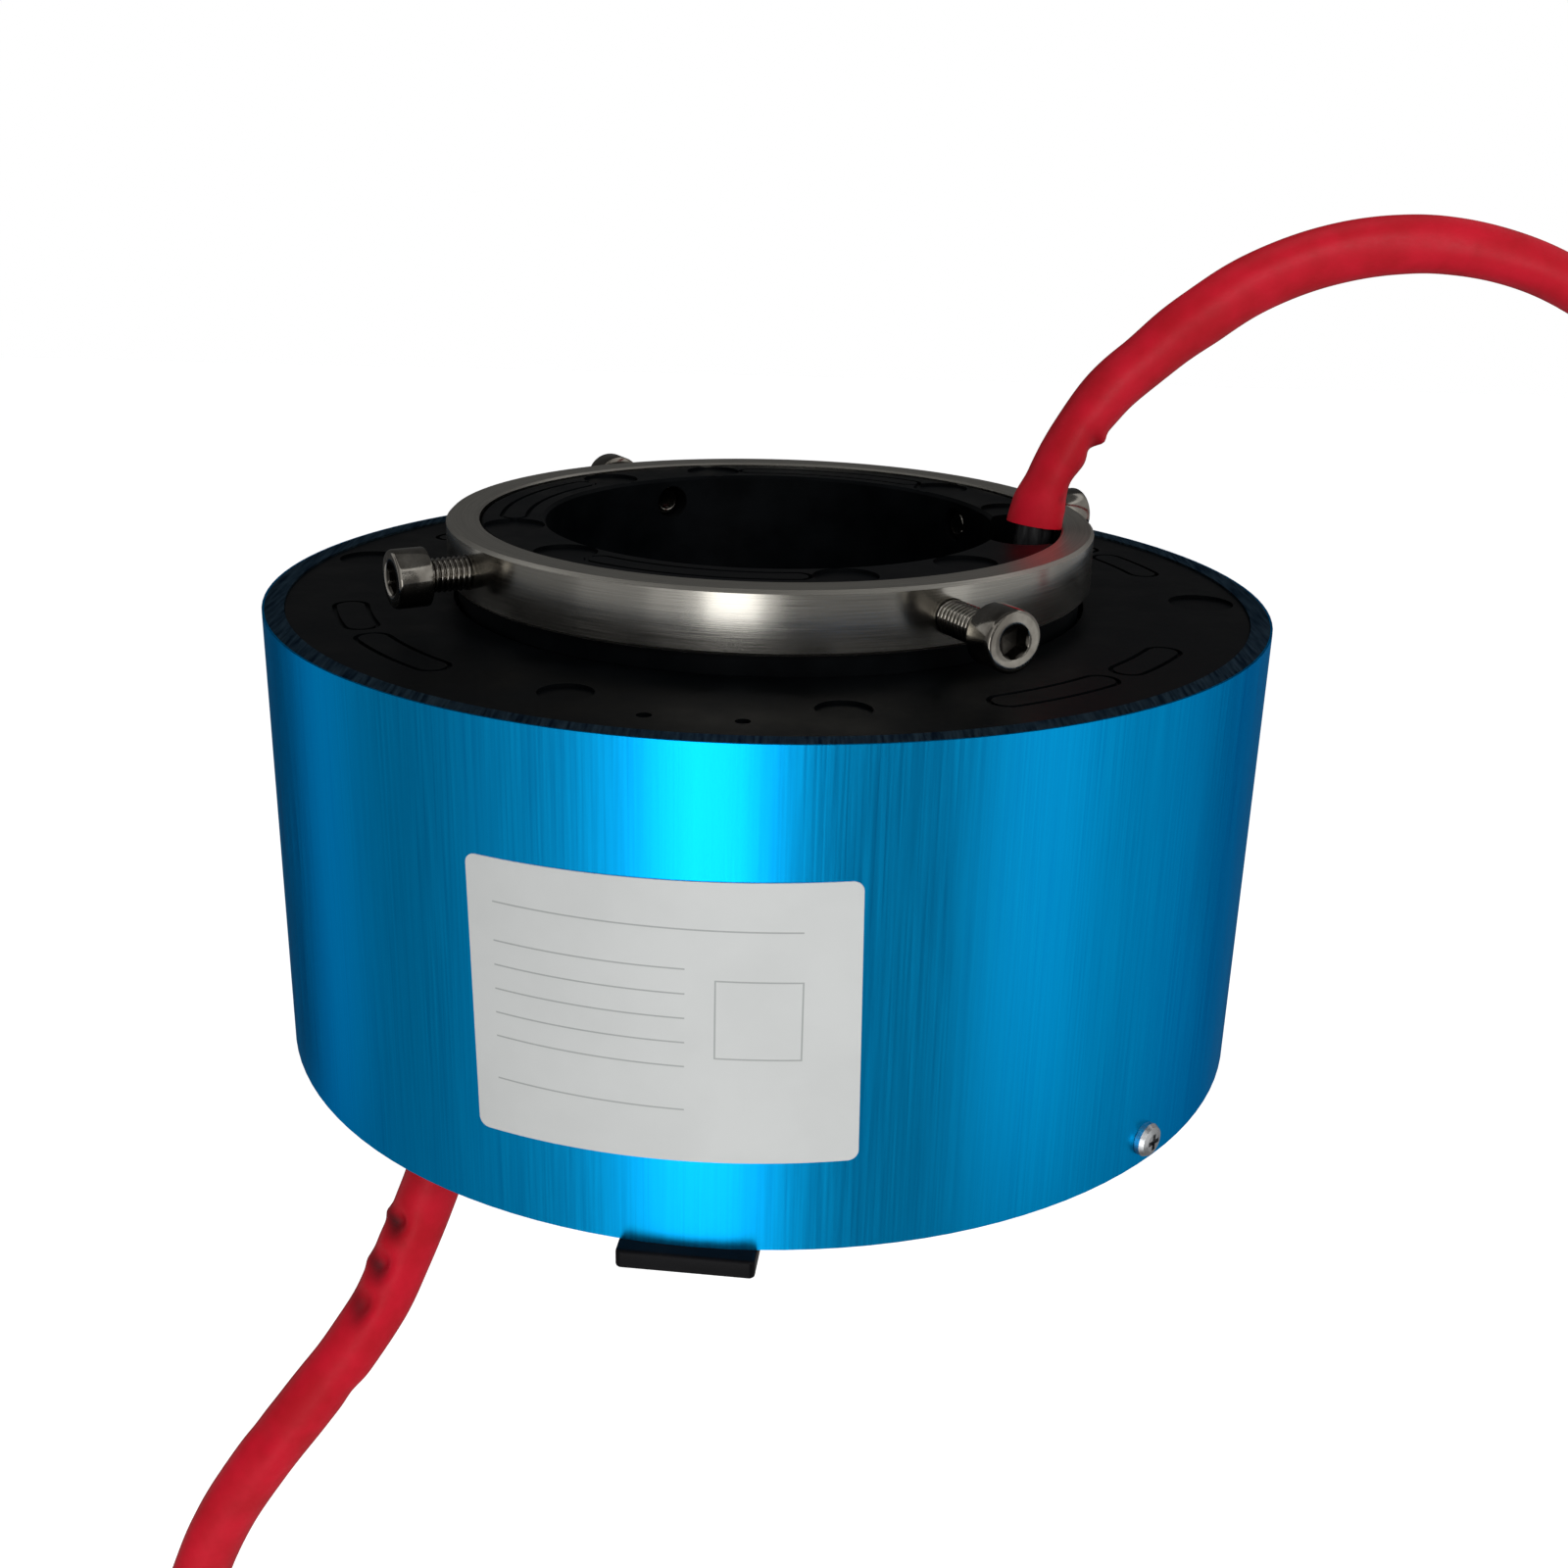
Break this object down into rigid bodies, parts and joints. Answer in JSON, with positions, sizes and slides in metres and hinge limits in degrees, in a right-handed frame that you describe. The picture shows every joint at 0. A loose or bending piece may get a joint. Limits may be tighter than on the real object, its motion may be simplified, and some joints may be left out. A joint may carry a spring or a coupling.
{
  "type": "slip ring",
  "caption": "Through-bore slip ring: a hollow rotor with a clamp collar turns in a round housing that has a stop tab and a sleeved lead at each end.",
  "frame": {"origin": "on the bore axis, at the housing's bottom face", "axes": "+Z along the bore, out of the clamp collar's end; the stop tab is under the bottom face near -Y; -Y is the side with the label"},
  "size_m": [0.2668, 0.1577, 0.3799],
  "materials": {
    "black_plastic": "glass-filled engineering plastic, near black, fine moulded grain",
    "grey_plastic": "dark grey insulating plastic",
    "brushed_steel": "stainless steel turned and brushed round the axis",
    "bearing_steel": "ground chromium steel",
    "zinc_steel": "steel screws, lightly worn",
    "wire_insulation": "PVC wire insulation on fine stranded copper",
    "red_sleeve": "crimson heat-shrink sleeve, slightly wrinkled at its bends",
    "blue_anodised": "blue anodised extruded aluminium with fine lines along the axis; bare cut rim",
    "aluminium": "turned aluminium",
    "black_metal": "black powder-coated steel",
    "label_film": "pale grey satin film label, no real text",
    "ring_brass": "brass collector rings, polished track",
    "cage_brass": "machined brass cage",
    "graphite": "copper-graphite brush blocks",
    "spring_bronze": "phosphor-bronze leaf springs"
  },
  "bodies": {
    "rotor": {"rotor_sleeve": "black_plastic", "rotor_base": "black_plastic", "clamp_collar": "brushed_steel", "inner_race_lower": "bearing_steel", "inner_race_upper": "bearing_steel", "insulator_1": "grey_plastic", "insulator_2": "grey_plastic", "insulator_3": "grey_plastic", "insulator_4": "grey_plastic", "insulator_5": "grey_plastic", "insulator_6": "grey_plastic", "end_barrier": "grey_plastic", "collector_ring_1": "ring_brass", "collector_ring_2": "ring_brass", "collector_ring_3": "ring_brass", "collector_ring_4": "ring_brass", "collector_ring_5": "ring_brass", "collector_ring_6": "ring_brass", "tie_screws": "zinc_steel", "rotor_leads": "wire_insulation", "rotor_cable": "red_sleeve", "rotor_lead_tails": "wire_insulation"},
    "stator": {"housing_shell": "blue_anodised", "top_cover": "black_plastic", "bottom_cover": "black_plastic", "standoffs": "aluminium", "cover_screws": "zinc_steel", "shell_screws": "zinc_steel", "anti_rotation_tab": "black_metal", "tab_screws": "zinc_steel", "rating_label": "label_film", "outer_race_lower": "bearing_steel", "outer_race_upper": "bearing_steel", "brush_holder_left": "grey_plastic", "brush_holder_right": "grey_plastic", "holder_screws": "zinc_steel", "brush_springs": "spring_bronze", "terminal_screws": "zinc_steel", "brush_set_1": "graphite", "brush_set_2": "graphite", "brush_set_3": "graphite", "brush_set_4": "graphite", "brush_set_5": "graphite", "brush_set_6": "graphite", "stator_leads": "wire_insulation", "stator_cable": "red_sleeve", "stator_lead_tails": "wire_insulation"},
    "cage_lower": {"ball_cage_lower": "cage_brass", "balls_lower": "bearing_steel"},
    "cage_upper": {"ball_cage_upper": "cage_brass", "balls_upper": "bearing_steel"},
    "clamp_screw_1": {"clamp_screw_1": "zinc_steel"},
    "clamp_screw_2": {"clamp_screw_2": "zinc_steel"},
    "clamp_screw_3": {"clamp_screw_3": "zinc_steel"},
    "clamp_screw_4": {"clamp_screw_4": "zinc_steel"}
  },
  "joints": [
    {"name": "stator_spin", "type": "hinge", "parent": "rotor", "child": "stator", "pos_m": [0, 0, 0.035], "axis": [0, 0, 1], "continuous": true},
    {"name": "cage_lower_spin", "type": "hinge", "parent": "rotor", "child": "cage_lower", "pos_m": [0, 0, 0.01], "axis": [0, 0, 1], "continuous": true},
    {"name": "cage_upper_spin", "type": "hinge", "parent": "rotor", "child": "cage_upper", "pos_m": [0, 0, 0.06], "axis": [0, 0, 1], "continuous": true},
    {"name": "clamp_screw_1_slide", "type": "slide", "parent": "rotor", "child": "clamp_screw_1", "axis": [0.5, -0.866, 0], "range_m": [-0.0043, 0.0085]},
    {"name": "clamp_screw_2_slide", "type": "slide", "parent": "rotor", "child": "clamp_screw_2", "axis": [0.866, 0.5, 0], "range_m": [-0.0006, 0.0122]},
    {"name": "clamp_screw_3_slide", "type": "slide", "parent": "rotor", "child": "clamp_screw_3", "axis": [-0.5, 0.866, 0], "range_m": [-0.002, 0.0108]},
    {"name": "clamp_screw_4_slide", "type": "slide", "parent": "rotor", "child": "clamp_screw_4", "axis": [-0.866, -0.5, 0], "range_m": [-0.0012, 0.0116]}
  ],
  "couplings": [
    {"joint": "cage_lower_spin", "follows": "stator_spin", "ratio": 0.5348},
    {"joint": "cage_upper_spin", "follows": "stator_spin", "ratio": 0.5348}
  ]
}
